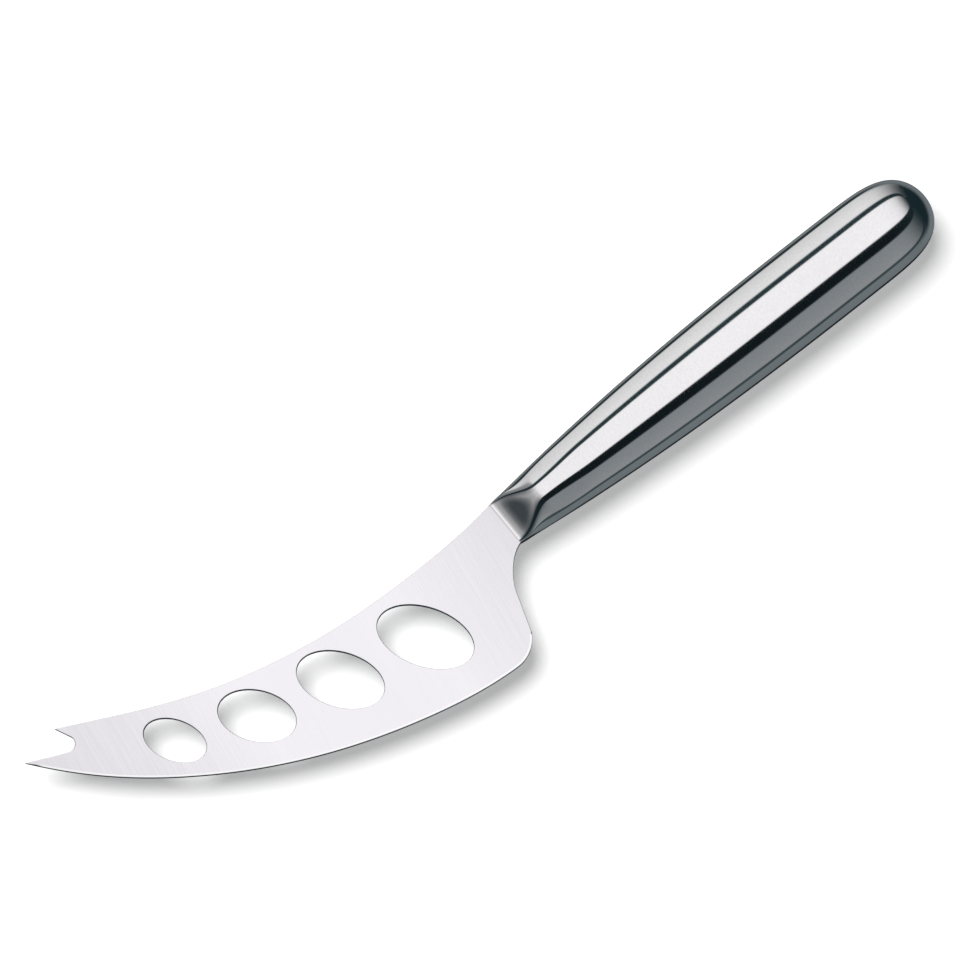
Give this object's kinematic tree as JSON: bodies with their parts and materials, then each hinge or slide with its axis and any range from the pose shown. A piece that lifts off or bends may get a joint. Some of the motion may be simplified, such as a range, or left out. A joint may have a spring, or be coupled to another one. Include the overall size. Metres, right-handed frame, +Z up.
{
  "type": "soft cheese knife",
  "caption": "Knife for soft cheese with a curved, pierced blade that ends in a two-pronged fork, on a smooth hollow metal handle.",
  "frame": {"origin": "middle of the shoulder, where the blade leaves the handle, half way through the blade", "axes": "+X back along the handle to the pommel, +Y to the spine of the blade, +Z up out of the face that the picture shows"},
  "size_m": [0.2438, 0.0543, 0.0164],
  "materials": {
    "blade_steel": "fine satin grind across the blade, bright ground bevels along the cutting edge",
    "handle_steel": "polished stainless steel with a faint satin grain"
  },
  "bodies": {
    "root": {"blade": "blade_steel", "handle": "handle_steel"}
  },
  "joints": []
}
